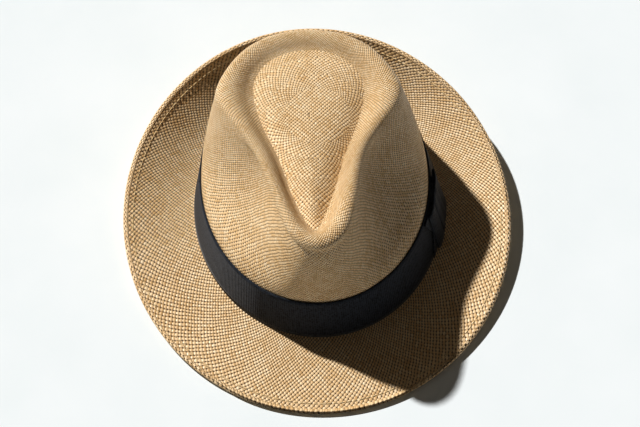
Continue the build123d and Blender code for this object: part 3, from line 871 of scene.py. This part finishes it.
def make_hem_stitches():
    """The line of running stitches that holds the brim's turned-under edge."""
    fine = np.linspace(0, 2 * pi, 3001)
    share = 1 - HEM_STITCH_INSET / edge_run(fine)
    line = brim_top(fine, share, np.full_like(fine, STRAW))
    run = running(np.linalg.norm(np.diff(line, axis=0), axis=1))
    count = int(run[-1] / HEM_STITCH_PITCH)
    face = STRAW + HEM_STITCH_LIFT
    places = []
    for at in np.arange(count) * run[-1] / count:
        angle = np.interp(at, run, fine)
        one = np.array([angle])
        s = 1 - HEM_STITCH_INSET / edge_run(one)
        here = brim_top(one, s, np.array([face]))[0]
        later = np.array([angle + 0.004])
        there = brim_top(later, 1 - HEM_STITCH_INSET / edge_run(later), np.array([face]))[0]
        over = brim_top(one, s, np.array([face + 1]))[0] - here
        places.append((here, unit(there - here), unit(over)))
    piece = stitches("brim_stitching", places, HEM_STITCH, straw_thread, "hem_stitches")


def make_sweat_stitches():
    """Stitches that join the sweatband's foot to the straw."""
    angles, run = arc_angles(SWEAT_STITCH_COUNT + 1)
    height, face = np.array(sweat_low[2] + SWEAT_STITCH_UP), -(STRAW + SWEAT_STITCH_IN)
    places = []
    for angle in angles[:-1]:
        if abs(angle - pi / 2) * BACK_REACH < tape_high[0] + 1:
            continue
        here = wall_spot(np.array(angle), height, face)
        there = wall_spot(np.array(angle + 0.01), height, face)
        inward = wall_spot(np.array(angle), height, face - 1) - here
        places.append((here, unit(there - here), unit(inward)))
    piece = stitches("sweatband_stitching", places, SWEAT_STITCH, straw_thread, "sweatband_stitches")


def back_angle(x):
    """The wall angle at the back of the crown at which a point has a given X."""
    return np.arctan2((BREAK_OVAL[1] + BAND_OVAL[1]) / 2, x)


def make_tape():
    """The leather tape that covers the sweatband's seam at the back."""
    half = (tape_high[0] - tape_low[0]) / 2
    share = np.linspace(0, 1, 15)[:, None]
    x = np.linspace(half, -half, 15)[None, :]
    angle = back_angle(x) + 0 * share
    height = tape_low[2] + (tape_high[2] - tape_low[2]) * share + 0 * x
    edge = 0.2 * (np.abs(x) / half) ** 8
    out = leather_face(angle, share) - TAPE_OVER_LEATHER + edge
    piece = strip("sweatband_tape", angle, height, out, x + 0 * share, leather)
    thicken(piece, TAPE, 1.0)
    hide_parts("seam_tape")


def make_rear_bow():
    """The small ribbon bow that marks the back: a flat loop, drawn in by a narrow wrap."""
    low, high = rear_low[2], rear_high[2]
    half = (rear_high[0] - rear_low[0]) / 2
    flat, side = folded_loop(half, 96)
    puff = 0.35 + 0.55 * (1 - np.exp(-(flat / 5.0) ** 2)) * (1 - (np.abs(flat) / half) ** 6)
    out = -REAR_LOOP_IN - np.where(side > 0, side * puff, side * 0.3)
    share = np.linspace(0, 1, 11)[:, None]
    drawn_in = 1 - 0.3 * np.exp(-(flat / 4.0) ** 2)[None, :]
    height = (low + high) / 2 + (high - low) * (share - 0.5) * drawn_in
    step = running(np.hypot(np.diff(flat), np.diff(out)))
    loop = strip("rear_bow_ribbon", back_angle(flat)[None, :] + 0 * share, height, out[None, :] + 0 * share,
                 step[None, :] + 0 * share, inner_ribbon, closed=True)
    thicken(loop, REAR_RIBBON, 0.0)
    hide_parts("rear_bow_loop")

    x = np.linspace(rear_wrap_high[0], rear_wrap_low[0], 9)[None, :]
    share = np.linspace(0, 1, 25)[:, None]
    lift = np.clip(np.minimum(share, 1 - share) * 12, 0, 1) ** 0.5
    low, high = rear_wrap_low[2], rear_wrap_high[2]
    height = low + (high - low) * share + 0 * x
    out = -REAR_WRAP_IN - lift * (1.5 + 0.15 * np.cos(x / 2.5 * pi / 2))
    wrap = strip("rear_bow_wrap", back_angle(x) + 0 * share, height, out, height, inner_ribbon)
    thicken(wrap, REAR_RIBBON, 1.0)
    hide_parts("rear_bow_knot")


def make_band_tacks():
    """Three short stitches that hold the ribbon's upper edge to the straw."""
    places = []
    for angle in (-pi / 2, pi / 2, pi):
        height = BAND_HEAD - TACK_DROP
        here, higher, outer = (wall_spot(np.array(angle), np.array(height + up), TACK_OUT + out)
                               for up, out in ((0, 0), (1, 0), (0, 1)))
        places.append((here, unit(higher - here), unit(outer - here)))
    piece = stitches("band_tacking", places, TACK, black_thread, "band_tacks")


# ---------------------------------------------------------------- floor, light and camera

def make_floor():
    """The pale sweep that the hat stands on."""
    corners = [(x * FLOOR_HALF, y * FLOOR_HALF, 0) for x, y in ((-1, -1), (1, -1), (1, 1), (-1, 1))]
    mesh = bpy.data.meshes.new("studio_floor")
    mesh.from_pydata(corners, [], [(0, 1, 2, 3)])
    mesh.materials.append(painted_floor("white_studio_floor"))
    floor = bpy.data.objects.new("studio_floor", mesh)
    bpy.context.scene.collection.objects.link(floor)
    floor.location.z = -FLOOR_DROP


def make_lights():
    """One soft-edged key from behind and to the wearer's right, and a pale room all round."""
    key = bpy.data.lights.new("key", "SUN")
    key.energy = KEY_ENERGY
    key.angle = radians(KEY_ANGLE)
    lamp = bpy.data.objects.new("key", key)
    lamp.rotation_mode = "QUATERNION"
    lamp.rotation_quaternion = Vector(KEY_FROM).to_track_quat("Z", "Y")
    bpy.context.scene.collection.objects.link(lamp)
    world = bpy.data.worlds.new("pale_room")
    world.use_nodes = True
    room = world.node_tree.nodes["Background"]
    room.inputs[0].default_value = linear(ROOM_COLOUR)
    room.inputs[1].default_value = ROOM_STRENGTH
    bpy.context.scene.world = world
    bpy.context.scene.view_settings.view_transform = "Standard"
    bpy.context.scene.view_settings.gamma = GAMMA


def make_camera():
    """A long lens above the front of the hat, looking down at the crown."""
    elevation, azimuth = radians(ELEVATION), radians(AZIMUTH)
    back = Vector((sin(azimuth) * cos(elevation), -cos(azimuth) * cos(elevation), sin(elevation)))
    right = Vector((cos(azimuth), sin(azimuth), 0))
    up = back.cross(right)
    target = Vector((0, SETBACK * MM, AIM_HEIGHT)) + right * AIM_RIGHT - up * AIM_DOWN
    data = bpy.data.cameras.new("camera")
    data.sensor_width = FILM_WIDTH
    data.lens = FILM_WIDTH * DISTANCE / VIEW_WIDTH
    camera = bpy.data.objects.new("camera", data)
    turn = Matrix((right, up, back)).transposed()
    camera.matrix_world = Matrix.Translation(target + back * DISTANCE) @ turn.to_4x4()
    bpy.context.scene.collection.objects.link(camera)
    bpy.context.scene.camera = camera


make_camera()
make_lights()
make_floor()
make_straw()
make_band()
make_bow()
make_sweatband()
make_reed()
make_hem_stitches()
make_sweat_stitches()
make_tape()
make_rear_bow()
make_band_tacks()
